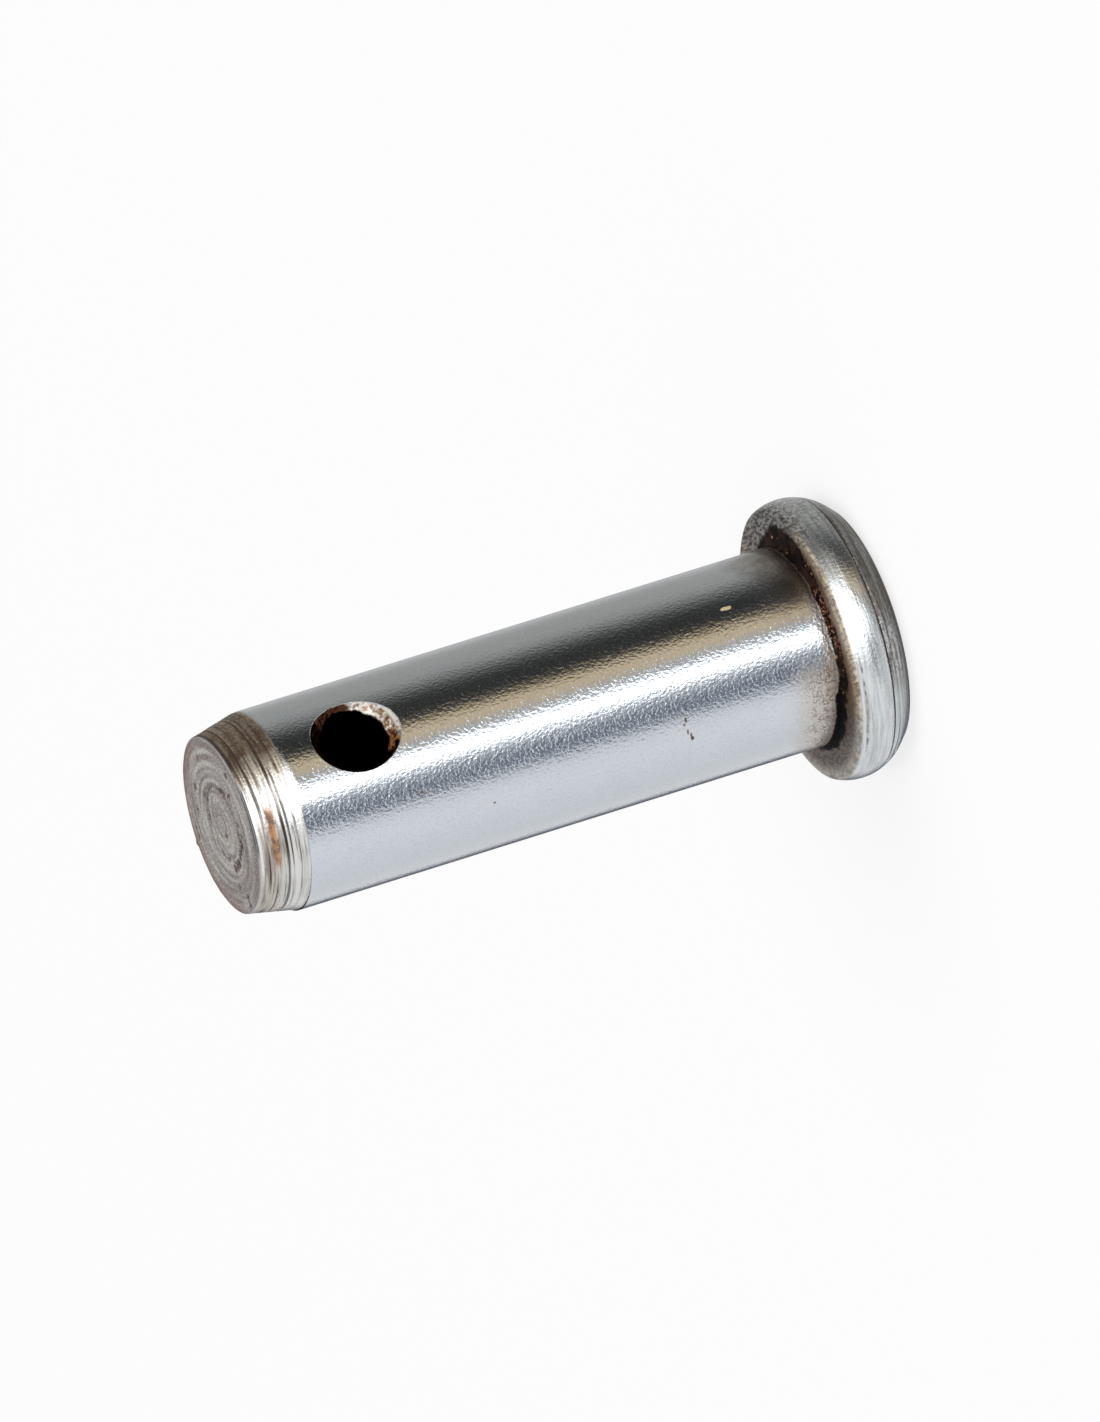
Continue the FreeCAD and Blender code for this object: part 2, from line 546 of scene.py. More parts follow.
def build_skin():
    """The pin's whole surface, from the outer face of the head up to the end face."""
    skin = Skin()
    heights = steps(hole_height - PATCH_HALF_HEIGHT, hole_height + PATCH_HALF_HEIGHT, 2 * PATCH_HALF)
    rim, bearing_outermost = rim_rows()
    rows = outer_face_rows() + rim + bearing_rows(bearing_outermost)
    rows += shank_rows(shank_foot, shank_foot + SHANK_FOOT_ZONE, SHANK_FOOT_ROWS)
    rows += shank_rows(shank_foot + SHANK_FOOT_ZONE, heights[0], SHANK_ROWS)
    rings = [lathe_ring(skin, row) for row in rows]
    for lower, upper in zip(rings, rings[1:]):
        skin.band(lower, upper)
    bottom = skin.add(Vector((0, 0, 0)))
    skin.cap(rings[0][::-1], bottom)

    # Hole zone: a full ring at its foot and top, and between them only what lies outside the patches
    zone = [rings[-1]]
    for height in heights[1:]:
        row = Row(shank_radius, height, 1, 0, "shank")
        if height == heights[-1]:
            zone.append(lathe_ring(skin, row))
            continue
        ring = {}
        for i in range(AROUND):
            if in_patch(i) and in_patch(i - 1):
                continue
            spot, _ = place(row, math.tau * i / AROUND)
            ring[i] = skin.add(spot)
        zone.append(ring)
    for lower, upper in zip(zone, zone[1:]):
        for i in range(AROUND):
            if not in_patch(i):
                j = (i + 1) % AROUND
                skin.faces.append((lower[i], lower[j], upper[j], upper[i]))
    front_loop, back_loop = patch_loop(zone, -1), patch_loop(zone, 1)
    front = [front_loop] + mouth_rings(skin, front_loop, -1)
    back = [back_loop] + mouth_rings(skin, back_loop, 1)
    through = front + bore_rings(skin, len(front_loop)) + back[::-1]
    for outer, inner in zip(through, through[1:]):
        skin.band(outer, inner)

    upper_rows = shank_rows(heights[-1], point_foot, ABOVE_HOLE_ROWS) + point_rows() + end_face_rows()
    upper_rings = [zone[-1]] + [lathe_ring(skin, row) for row in upper_rows]
    for lower, upper in zip(upper_rings, upper_rings[1:]):
        skin.band(lower, upper)
    top = skin.add(Vector((0, 0, end_height - MIDDLE_DEPTH)), face=1.0)
    skin.cap(upper_rings[-1], top)
    return skin


def build_pin():
    skin = build_skin()
    mesh = bpy.data.meshes.new("clevis_pin_skin")
    mesh.from_pydata([tuple(p) for p in skin.points], [], skin.faces)
    for name, column in skin.values.items():
        attribute = mesh.attributes.new(name, "FLOAT", "POINT")
        attribute.data.foreach_set("value", column)
    mesh.validate()
    mesh.shade_smooth()
    mesh.set_sharp_from_angle(angle=SHARP_ANGLE)
    return new_object("clevis_pin_skin", mesh)


# Node helpers

def linear(red, green, blue):
    """A colour written in plain 0-255 values as the linear colour that a socket takes."""
    out = []
    for value in (red, green, blue):
        value /= 255
        out.append(value / 12.92 if value <= 0.04045 else ((value + 0.055) / 1.055) ** 2.4)
    return (*out, 1)


class Graph:
    """A short way to write a node tree."""

    def __init__(self, tree):
        self.nodes = tree.nodes
        self.links = tree.links

    def node(self, kind, inputs=None, **settings):
        """A new node, whose inputs, by name or number, take values or the outputs of other nodes."""
        made = self.nodes.new(kind)
        for name, value in settings.items():
            setattr(made, name, value)
        for key, value in (inputs or {}).items():
            if isinstance(value, bpy.types.NodeSocket):
                self.links.new(value, made.inputs[key])
            else:
                made.inputs[key].default_value = value
        return made

    def math(self, operation, *values):
        return self.node("ShaderNodeMath", dict(enumerate(values)), operation=operation).outputs[0]

    def times(self, product, *factors):
        """Product of two or more values."""
        for factor in factors:
            product = self.math("MULTIPLY", product, factor)
        return product

    def affine(self, value, factor, offset):
        """The value times a factor, plus an offset."""
        return self.math("MULTIPLY_ADD", value, factor, offset)

    def minus(self, first, second):
        return self.math("SUBTRACT", first, second)

    def hypotenuse(self, a, b):
        return self.math("SQRT", self.math("ADD", self.times(a, a), self.times(b, b)))

    def degrees(self, sideways, forward):
        """Direction of a level vector, from -180 to 180 degrees."""
        return self.math("DEGREES", self.math("ARCTAN2", sideways, forward))

    def vector(self, operation, *values):
        made = self.node("ShaderNodeVectorMath", dict(enumerate(values)), operation=operation)
        return made.outputs["Value" if operation in ("DOT_PRODUCT", "LENGTH") else "Vector"]

    def scale(self, vector, factor):
        return self.node("ShaderNodeVectorMath", {0: vector, "Scale": factor}, operation="SCALE").outputs[0]

    def combine(self, x, y, z):
        return self.node("ShaderNodeCombineXYZ", {0: x, 1: y, 2: z}).outputs[0]

    def noise(self, vector, scale, detail, roughness):
        inputs = {"Vector": vector, "Scale": scale, "Detail": detail, "Roughness": roughness}
        return self.node("ShaderNodeTexNoise", inputs).outputs["Fac"]

    def stretched_noise(self, vector, scales, detail, roughness):
        """Noise with a scale of its own along each axis."""
        return self.noise(self.vector("MULTIPLY", vector, scales), 1, detail, roughness)

    def step(self, value, low, high):
        """Smooth step from 0 at low to 1 at high; low may be above high."""
        inputs = {"Value": value, "From Min": low, "From Max": high}
        return self.node("ShaderNodeMapRange", inputs, interpolation_type="SMOOTHSTEP").outputs["Result"]

    def band(self, value, low, high, soft):
        """1 between low and high, with soft ends."""
        return self.times(self.step(value, low - soft, low + soft), self.step(value, high + soft, high - soft))

    def blend(self, share, first, second):
        return self.node("ShaderNodeMix", {0: share, 2: first, 3: second}, data_type="FLOAT").outputs[0]

    def mix(self, share, first, second):
        return self.node("ShaderNodeMix", {0: share, 6: first, 7: second}, data_type="RGBA").outputs[2]

    def tones(self, share, first, second):
        """Mix of two colours given in 0-255 values."""
        return self.mix(share, linear(*first), linear(*second))

    def tint(self, colour, spots, share, tone):
        """The colour with a tone, given in 0-255 values, laid over the spots with a share."""
        return self.mix(self.times(spots, share), colour, linear(*tone))

    def attribute(self, name):
        return self.node("ShaderNodeAttribute", attribute_name=name).outputs["Fac"]


def new_material(name):
    """A material and its node tree, still empty."""
    material = bpy.data.materials.new(name)
    material.use_nodes = True
    material.node_tree.nodes.clear()
    return material, material.node_tree


# Material of the pin

# Masks of the lower side fade out at this angle, short of the seam of the angles at the back
LOWER_SIDE_END = -146


class PinGraph(Graph):
    """The pin's nodes: what its layers are made from, and the running values over which they are laid. Lengths are
    in millimetres. Angles are in degrees round the pin from the camera's side, towards the picture's upper side."""

    def __init__(self, tree):
        super().__init__(tree)
        self.place = self.scale(self.node("ShaderNodeTexCoord").outputs["Object"], 1 / MM)
        self.x, self.y, self.z = self.node("ShaderNodeSeparateXYZ", {0: self.place}).outputs
        self.towards = self.vector("DOT_PRODUCT", self.place, tuple(TOWARDS))
        self.aside = self.vector("DOT_PRODUCT", self.place, tuple(ASIDE))
        self.radius = self.hypotenuse(self.x, self.y)
        self.angle = self.degrees(self.aside, self.towards)
        self.below_end = self.minus(end_height / MM, self.z)
        self.over_bearing = self.minus(self.z, bearing_height / MM)

        self.groove, self.face, self.point, self.bore, self.sink, self.rim = map(self.attribute, POINT_VALUES)

        self.medium = self.noise(self.place, 2.4, 4, 0.62)
        self.small = self.noise(self.place, 6, 3, 0.6)
        self.fine = self.noise(self.place, 12, 2, 0.5)
        self.dull = self.step(self.stretched_noise(self.place, (15, 15, 9), 2, 0.6), 0.52, 0.66)
        self.streaks = self.stretched_noise(self.place, (0.5, 0.5, 9), 3, 0.7)
        self.wavy = self.affine(self.medium, 2, -1)
        self.wavy_angle = self.affine(self.wavy, 9, self.angle)

        self.not_back = self.step(self.angle, 160, 110)
        self.upper_side = self.times(self.step(self.wavy_angle, 34, 62), self.not_back)
        self.lower_side = self.band(self.angle, LOWER_SIDE_END, -38, 12)

        # Bright steel, with scattered duller grains
        steel = self.tones(self.noise(self.place, 0.8, 3, 0.6), (194, 200, 207), (202, 207, 213))
        self.colour = self.tint(steel, self.dull, 0.5, (180, 186, 192))
        duller = self.step(self.stretched_noise(self.place, (7, 7, 5), 2, 0.6), 0.52, 0.72)
        self.roughness = self.affine(duller, 0.05, self.blend(self.dull, 0.075, 0.20))
        self.metallic = 1
        self.sheen = 0.5

    def lay(self, share, colour, roughness=None, metallic=None, sheen=None):
        """Lays a layer over the share: its colour, made by nodes or in 0-255 values, and what else is given."""
        if isinstance(colour, tuple):
            colour = linear(*colour)
        self.colour = self.mix(share, self.colour, colour)
        if roughness is not None:
            self.roughness = self.blend(share, self.roughness, roughness)
        if metallic is not None:
            self.metallic = self.blend(share, self.metallic, metallic)
        if sheen is not None:
            self.sheen = self.blend(share, self.sheen, sheen)


def lay_end_face(g):
    """Taupe, with the rings and pits darkened by painted shade where the relief is deep, and brown dirt and a dark
    line along the edge.
    """
    ring_wave = g.stretched_noise(g.combine(g.towards, g.aside, g.radius), (0.3, 0.3, 3.2), 3, 0.6)
    specks = g.noise(g.place, 11, 3, 0.7)
    taupe = g.tones(g.step(ring_wave, 0.3, 0.7), (134, 122, 118), (202, 200, 194))
    # Painted shade: the facing rings are darkened where the grooves are deep
    taupe = g.tint(taupe, g.step(g.groove, 0.020, 0.044), 0.80, (108, 94, 92))
    taupe = g.tint(taupe, g.step(g.fine, 0.52, 0.70), 0.45, (108, 96, 94))
    taupe = g.tint(taupe, g.step(specks, 0.50, 0.64), 0.62, (104, 92, 90))
    taupe = g.tint(taupe, g.step(specks, 0.46, 0.34), 0.60, (224, 220, 212))
    g.lay(g.face, taupe, 0.42, 0.85)
    # Painted shade: the deepest grooves and pits are darkened further
    deep = g.times(g.face, g.step(g.groove, 0.046, 0.074))
    g.lay(deep, g.tones(g.medium, (46, 34, 38), (98, 80, 82)), 0.6, 0.3)

    wavy_radius = g.affine(g.wavy, 0.12, g.radius)
    left_side = g.step(g.towards, 0.8, -1.2)
    brown_edge = g.times(g.face, left_side, g.step(wavy_radius, 2.60, 3.15))
    g.lay(g.times(brown_edge, 0.45), g.tones(g.step(g.small, 0.4, 0.6), (120, 96, 88), (172, 156, 146)),
          0.6, 0.6)
    edge = g.times(g.face, g.step(wavy_radius, 3.18, 3.40))
    g.lay(g.times(edge, g.affine(left_side, 0.5, 0.3)), g.tones(left_side, (112, 110, 116), (118, 92, 88)),
          0.6, 0.5)
    right_edge = g.times(g.face, g.step(wavy_radius, 3.26, 3.36), g.band(g.angle, -24, 20, 8))
    g.lay(g.times(right_edge, 0.8), (44, 42, 58), 0.6, 0.3)


def lay_taper(g):
    """Fine lines left by the tool, browner on the upper side, grooves dark with dirt and painted shade, a dark lip
    at the end face and a painted highlight on the first facet.
    """
    lines = g.stretched_noise(g.combine(g.towards, g.aside, g.below_end), (0.45, 0.45, 8), 3, 0.65)
    calm = g.times(g.band(g.angle, LOWER_SIDE_END, -31, 9), g.step(g.below_end, 0.9, 1.4))
    dark_lines = g.times(g.step(lines, 0.56, 0.36), g.affine(calm, -0.5, 1))
    g.lay(g.point, g.tones(dark_lines, (212, 213, 212), (158, 153, 148)), g.blend(g.small, 0.18, 0.32))
    end_film = g.times(g.point, g.band(g.angle, LOWER_SIDE_END, -6, 8), g.step(g.below_end, 1.35, 0.55))
    g.lay(g.times(end_film, 0.55), g.tones(dark_lines, (172, 156, 142), (112, 96, 84)), 0.4, 0.8)

    tan_zone = g.times(g.point, g.step(g.wavy_angle, 12, 26), g.not_back)
    g.lay(g.times(tan_zone, 0.55), g.tones(dark_lines, (206, 194, 172), (128, 106, 82)), 0.4)
    brown = g.tones(g.step(lines, 0.62, 0.36), (132, 112, 88), (58, 42, 30))
    brown = g.tint(brown, g.step(g.small, 0.46, 0.62), 0.6, (44, 34, 26))
    brown = g.tint(brown, g.step(g.fine, 0.50, 0.62), 0.6, (156, 146, 130))
    brown = g.mix(g.step(g.medium, 0.44, 0.62), brown, linear(84, 56, 30))
    brown_zone = g.times(g.point, g.step(g.wavy_angle, 26, 40), g.not_back)
    g.lay(g.times(brown_zone, 0.9), brown, 0.5, 0.5)

    # The taper's grooves are darkened with dirt and painted shade, and painted lighter where the highlight falls
    glare = g.band(g.angle, -5, 17, 5)
    groove_dirt_and_shade = g.times(g.point, g.step(g.groove, 0.016, 0.034), g.affine(calm, -0.55, 1),
                          g.affine(glare, -0.65, 1))
    g.lay(groove_dirt_and_shade, g.tones(g.small, (34, 26, 22), (96, 78, 66)), 0.7, 0.3)
    lip = g.math("MAXIMUM", g.times(g.step(g.below_end, 0.20, 0.12), g.step(g.angle, 26, 36)),
                 g.times(g.step(g.below_end, 0.10, 0.07), g.band(g.angle, -26, 18, 4)))
    g.lay(g.times(g.point, g.not_back, lip, 0.85), (44, 38, 44), 0.6, 0.3)
    # Painted highlight: the first facet below the end face is painted near white on the camera's side
    painted_facet_highlight = g.times(g.point, g.band(g.below_end, 0.10, 0.20, 0.02), g.band(g.angle, -44, 14, 10))
    g.lay(g.times(painted_facet_highlight, 0.8), (236, 238, 240), 0.25, 0.7)


def lay_rust_streak(g):
    """One streak of orange rust on the taper."""
    ragged_below = g.affine(g.small, 0.16, g.affine(g.wavy, 0.08, g.below_end))
    streak = g.times(g.band(ragged_below, 0.68, 0.95, 0.05), g.band(g.wavy_angle, -34, 2, 4),
                     g.point, g.step(g.fine, 0.24, 0.38))
    patchy = g.step(g.affine(g.fine, 0.3, g.times(g.medium, 0.7)), 0.42, 0.58)
    g.lay(g.times(streak, 0.86), g.tones(patchy, (96, 60, 40), (196, 138, 86)), 0.65, 0.2)


def lay_rim(g):
    """Streaky steel, darker grooves with orange specks, brown on the rounded edge and near the outer face."""
    g.lay(g.rim, g.tones(g.step(g.streaks, 0.35, 0.65), (182, 187, 190), (212, 216, 219)),
          g.affine(g.dull, 0.16, g.blend(g.small, 0.12, 0.26)), 0.93)
    # Darker where the grooves are deep, with orange specks
    dark_rim_groove = g.times(g.rim, g.step(g.groove, 0.020, 0.040))
    g.lay(dark_rim_groove, g.tones(g.step(g.fine, 0.56, 0.70), (40, 30, 26), (196, 148, 84)), 0.6, 0.3)
    lower_line = g.times(g.rim, g.band(g.affine(g.wavy, 0.05, g.z), 2.06, 2.13, 0.03),
                         g.band(g.angle, -58, -12, 6), g.step(g.medium, 0.42, 0.60))
    g.lay(g.times(lower_line, 0.8), (92, 78, 68), 0.6, 0.4)
    streaky = g.times(g.rim, g.step(g.streaks, 0.50, 0.36), g.step(g.z, 1.7, 2.2))
    g.lay(g.times(streaky, 0.5), (164, 156, 144), 0.35, 0.85)
    mottled = g.times(g.rim, g.step(g.angle, 34, 54), g.step(g.small, 0.42, 0.60), g.step(g.angle, 150, 110))
    g.lay(g.times(mottled, 0.5), (104, 104, 102), 0.45, 0.7)
    edge_dirt = g.times(g.rim, g.band(g.angle, 30, 100, 14), g.step(g.affine(g.wavy, 0.35, g.z), 1.72, 2.20),
                        g.step(g.affine(g.fine, 0.5, g.times(g.small, 0.5)), 0.44, 0.56))
    g.lay(g.times(edge_dirt, 0.75), (64, 54, 46), 0.6, 0.4)
    outer_dirt = g.times(g.rim, g.band(g.angle, -26, 58, 10), g.step(g.affine(g.wavy, 0.08, g.z), 1.04, 0.94),
                         g.step(g.affine(g.streaks, 0.6, g.times(g.small, 0.4)), 0.60, 0.44))
    g.lay(g.times(outer_dirt, 0.8), (70, 58, 50), 0.5, 0.5)

    # Two brown layers towards the outer face, thinner on the lower side
    not_low = g.minus(1, g.band(g.angle, LOWER_SIDE_END, -40, 16))
    lowest = g.times(g.rim, g.step(g.affine(g.wavy, 0.25, g.z), 0.92, 0.5))
    g.lay(g.times(lowest, g.affine(not_low, 0.30, 0.05)), (150, 146, 138), 0.4, 0.8)
    foot = g.times(g.rim, g.step(g.z, 0.24, 0.08))
    g.lay(g.times(foot, g.affine(not_low, 0.6, 0.25)), (104, 78, 60), 0.7, 0.4)


def lay_bearing_face(g):
    """Light brown-grey outside, mottled, darker on the upper side with dirt and painted shade, with dark blotches
    low down.
    """
    blotches = g.stretched_noise(g.combine(g.towards, g.aside, 0), (2.4, 7, 0), 3, 0.7)
    flat_ring = g.times(g.band(g.over_bearing, -0.10, 0.08, 0.03), g.step(g.radius, 5.47, 5.32))
    outwards = g.step(g.affine(g.wavy, 0.30, g.radius), 4.62, 5.22)
    light = g.mix(outwards, g.tones(g.lower_side, (112, 84, 60), (116, 104, 100)),
                  g.tones(g.lower_side, (212, 198, 176), (206, 203, 198)))
    light = g.tint(light, g.step(blotches, 0.52, 0.42), 0.62, (98, 80, 64))
    light = g.tint(light, g.step(g.medium, 0.48, 0.58), 0.50, (104, 84, 62))
    # The upper side takes dark tones: dirt with painted shade
    dark = g.tones(g.step(blotches, 0.42, 0.58), (32, 25, 20), (134, 130, 126))
    g.lay(flat_ring, g.mix(g.upper_side, light, dark), 0.5, 0.6)
    far_lower = g.times(flat_ring, g.band(g.angle, LOWER_SIDE_END, -44, 10), g.step(blotches, 0.46, 0.54),
                        g.affine(outwards, -0.6, 1))
    g.lay(g.times(far_lower, 0.85), (54, 46, 50), 0.6, 0.3)


def lay_creeping_dirt(g):
    """Dirt that creeps from the corner up the shank: a brown film above, speckled brown below."""
    on_shank = g.step(g.over_bearing, 0.02, 0.08)
    creep = g.affine(g.wavy, 0.9, g.z)
    upper_film = g.times(g.step(g.wavy_angle, 8, 34), g.not_back, on_shank, g.step(creep, 5.4, 2.9))
    g.lay(g.times(upper_film, 0.86), g.tones(g.small, (84, 68, 50), (122, 104, 82)), 0.25, 0.9)
    low_shank = g.times(g.band(g.affine(g.wavy, 8, g.angle), -84, -12, 7), on_shank)
    g.lay(g.times(low_shank, g.step(creep, 4.9, 2.9), 0.62), (190, 176, 160), 0.4, 0.7)
    dots = g.step(g.affine(g.fine, 0.6, g.times(g.small, 0.4)), 0.48, 0.55)
    speckled = g.times(low_shank, g.step(creep, 4.8, 2.9), dots, g.step(g.medium, 0.40, 0.54))
    g.lay(g.times(speckled, 0.85), g.tones(g.fine, (84, 64, 54), (150, 128, 112)), 0.5, 0.5)


def lay_corner_grime_and_shade(g):
    """Near-black dirt with painted shade in the corner under the head: widest on the upper side, narrow low down,
    where it climbs the shank.
    """
    reach = g.math("ADD", g.affine(g.wavy, 0.34, g.radius), g.affine(g.fine, 0.20, -0.10))
    outer_radius = g.blend(g.times(g.step(g.angle, 8, 60), g.not_back), 4.44, 4.84)
    narrow = g.math("MAXIMUM", g.step(g.math("ABSOLUTE", g.angle), 66, 112), g.step(g.angle, -24, -42))
    outer_radius = g.blend(narrow, outer_radius, 4.16)
    climb = g.math("ADD", g.affine(g.wavy, 0.10, g.over_bearing), g.affine(g.fine, 0.10, -0.05))
    top = g.blend(g.band(g.wavy_angle, -100, -32, 6), g.blend(g.upper_side, 0.13, 0.24), 0.36)
    corner = g.times(g.step(g.minus(reach, outer_radius), 0.10, -0.10), g.step(g.minus(climb, top), 0.05, -0.05),
                     g.step(g.over_bearing, -0.12, -0.05))
    # Near-black dirt with painted shade, bluish on the lower side
    grime_and_shade = g.tones(g.step(g.medium, 0.40, 0.70), (9, 7, 7), (50, 33, 25))
    g.lay(corner, g.mix(g.lower_side, grime_and_shade, linear(11, 11, 15)), 0.8, 0.05, 0.08)
    red = g.times(corner, g.band(g.angle, -15, 26, 6), g.step(g.small, 0.50, 0.60))
    g.lay(g.times(red, 0.75), g.tones(g.step(g.fine, 0.46, 0.68), (74, 28, 16), (186, 134, 106)), 0.7, 0.2)
    chips = g.times(corner, g.step(g.noise(g.place, 3, 2, 0.5), 0.68, 0.73))
    g.lay(chips, (176, 138, 96), 0.7, 0.2)


# Small marks on the shank: below the end face (mm), angle from the camera's side, length, width, colour
MARKS = [
    (20.70, 33, 0.26, 0.09, (226, 206, 158)),
    (17.70, -21.5, 0.05, 0.12, (96, 80, 72)),
    (17.62, -24, 0.045, 0.07, (140, 126, 118)),
    (17.72, -28.5, 0.045, 0.10, (128, 116, 112)),
    (17.84, -31, 0.045, 0.10, (116, 100, 94)),
    (17.87, -33.2, 0.075, 0.10, (98, 78, 72)),
    (6.75, -15.5, 0.08, 0.06, (118, 86, 70)),
    (9.60, -35, 0.06, 0.05, (150, 128, 112)),
]


def lay_marks(g):
    """Each mark is a small ragged oval."""
    ragged = g.affine(g.small, 1.2, -0.6)
    for below_end, angle, length, width, colour in MARKS:
        spot = direction(angle, 0) * (shank_radius / MM)
        away = g.vector("SUBTRACT", g.place, (spot.x, spot.y, end_height / MM - below_end))
        away = g.vector("LENGTH", g.vector("MULTIPLY", away, (1 / width, 1 / width, 1 / length)))
        g.lay(g.step(g.math("ADD", away, ragged), 1.15, 0.75), colour, 0.6, 0.3)


def lay_hole(g):
    """Countersinks with painted light and rust on the head's side, brown patches, and near-black dirt with painted
    shade towards the point; the bore painted near black as shade.
    """
    # Angle round the hole, from the head's side
    from_hole = g.minus(g.z, hole_height / MM)
    clock = g.affine(g.wavy, 14, g.degrees(g.x, g.times(from_hole, -1)))
    sink = g.step(g.sink, 0.2, 0.6)
    # The whole countersink is first painted near black: dirt with painted shade
    g.lay(sink, g.tones(g.step(g.small, 0.45, 0.7), (5, 3, 2), (34, 18, 12)), 0.95, 0, 0)
    brown = g.times(sink, g.band(clock, 66, 138, 12), g.step(g.small, 0.38, 0.56))
    g.lay(brown, (96, 62, 46), 0.7, 0.2)
    # Painted light: the head's side of the countersink, which the light reaches, is painted pale
    bright = g.times(sink, g.band(clock, -8, 74, 7))
    g.lay(bright, g.tones(g.step(g.small, 0.36, 0.58), (166, 136, 116), (240, 236, 226)), 0.38, 0.5, 0.5)
    rusty = g.times(sink, g.band(clock, -40, 34, 8), g.step(g.medium, 0.45, 0.56))
    g.lay(rusty, g.tones(g.step(g.small, 0.38, 0.62), (76, 34, 20), (158, 116, 70)), 0.75, 0.1)
    # Painted highlight: a near-white line round part of the countersink on the lit side
    wavy_distance = g.affine(g.wavy, 0.10, g.hypotenuse(g.x, from_hole))
    edge = g.times(sink, g.band(clock, -14, 70, 6), g.step(wavy_distance, 1.62, 1.70),
                   g.step(g.small, 0.66, 0.50))
    g.lay(edge, (224, 224, 214), 0.35, 0.6)
    # Painted shade: the bore is painted near black
    black = g.tones(g.step(g.medium, 0.62, 0.80), (2, 1, 1), (16, 9, 6))
    g.lay(g.step(g.bore, 0, 0.45), black, 0.95, 0, 0)


def grain_height(g):
    """Fine grain, slightly longer along the pin than round it, and the rim's streaks."""
    flecks = g.stretched_noise(g.place, (9, 9, 7.5), 1, 0.5)
    finest = g.stretched_noise(g.place, (22, 22, 18), 1, 0.5)
    return g.math("ADD", g.affine(flecks, 0.85, g.times(finest, 0.20)), g.times(g.rim, g.streaks))


def pin_material():
    material, tree = new_material("used_bright_steel")
    g = PinGraph(tree)
    for lay in (lay_end_face, lay_taper, lay_rust_streak, lay_rim, lay_bearing_face, lay_creeping_dirt,
                lay_corner_grime_and_shade, lay_marks, lay_hole):
        lay(g)
    bump = g.node("ShaderNodeBump", {"Strength": 1, "Distance": GRAIN_HEIGHT, "Height": grain_height(g)})
    shader = g.node("ShaderNodeBsdfPrincipled", {
        "Base Color": g.colour, "Metallic": g.metallic, "Roughness": g.roughness,
        "Specular IOR Level": g.sheen, "Normal": bump.outputs[0]})
    g.node("ShaderNodeOutputMaterial", {"Surface": shader.outputs[0]})
    return material


# Camera, from the photograph's view of the pin

PHOTO_SIZE = (1100, 1422)
PIXELS_PER_MM = 26.49
END_CENTRE_PIXEL = (220.9, 825.5)


def camera_axes():
    """Directions to the picture's right and top, and from the pin towards the camera."""
    towards = direction(0, VIEW_ELEVATION)
    right = Vector((0, 0, 1)).cross(towards).normalized()
    up = towards.cross(right)
    # The picture turns by the roll, so the camera turns the other way
    roll = math.radians(VIEW_ROLL)
    rolled_right = right * math.cos(roll) - up * math.sin(roll)
    rolled_up = right * math.sin(roll) + up * math.cos(roll)
    return rolled_right, rolled_up, towards


def make_camera():
    right, up, towards = camera_axes()
    across = (PHOTO_SIZE[0] / 2 - END_CENTRE_PIXEL[0]) / PIXELS_PER_MM * MM
    rise = (END_CENTRE_PIXEL[1] - PHOTO_SIZE[1] / 2) / PIXELS_PER_MM * MM
    target = Vector((0, 0, end_height)) + right * across + up * rise
    data = bpy.data.cameras.new("photo_camera")
    data.sensor_width = 36
    data.lens = data.sensor_width * VIEW_DISTANCE / (PHOTO_SIZE[1] / PIXELS_PER_MM * MM)
    data.clip_start = 0.01
    data.clip_end = 20
    camera = new_object("photo_camera", data)
    camera_matrix = Matrix((right, up, towards)).transposed().to_4x4()
    camera_matrix.translation = target + towards * VIEW_DISTANCE
    camera.matrix_world = camera_matrix
    bpy.context.scene.camera = camera


# Stage

# White is a strength of 1. The floor shows the camera this share of it, and its own shaded tone for the rest
WHITE = (1.0, 1.0, 1.0, 1.0)
WHITE_SHARE = 0.75
FLOOR_TONE = 0.95
FLOOR_HALF = 3


def make_floor():
    mesh = bpy.data.meshes.new("floor")
    # A hair below the pin's outer face, so that the two don't share a plane
    level = -0.01 * MM
    corners = [(-FLOOR_HALF, -FLOOR_HALF, level), (FLOOR_HALF, -FLOOR_HALF, level),
               (FLOOR_HALF, FLOOR_HALF, level), (-FLOOR_HALF, FLOOR_HALF, level)]
    mesh.from_pydata(corners, [], [(0, 1, 2, 3)])
    floor = new_object("floor", mesh)
    material, tree = new_material("white_floor")
    g = Graph(tree)
    shaded = g.node("ShaderNodeBsdfDiffuse", {"Color": (FLOOR_TONE, FLOOR_TONE, FLOOR_TONE, 1)}).outputs[0]
    plain_white = g.node("ShaderNodeEmission", {"Color": WHITE, "Strength": 1}).outputs[0]
    share = g.times(g.node("ShaderNodeLightPath").outputs["Is Camera Ray"], WHITE_SHARE)
    both = g.node("ShaderNodeMixShader", {0: share, 1: shaded, 2: plain_white})
    g.node("ShaderNodeOutputMaterial", {"Surface": both.outputs[0]})
    mesh.materials.append(material)
    floor.visible_glossy = False


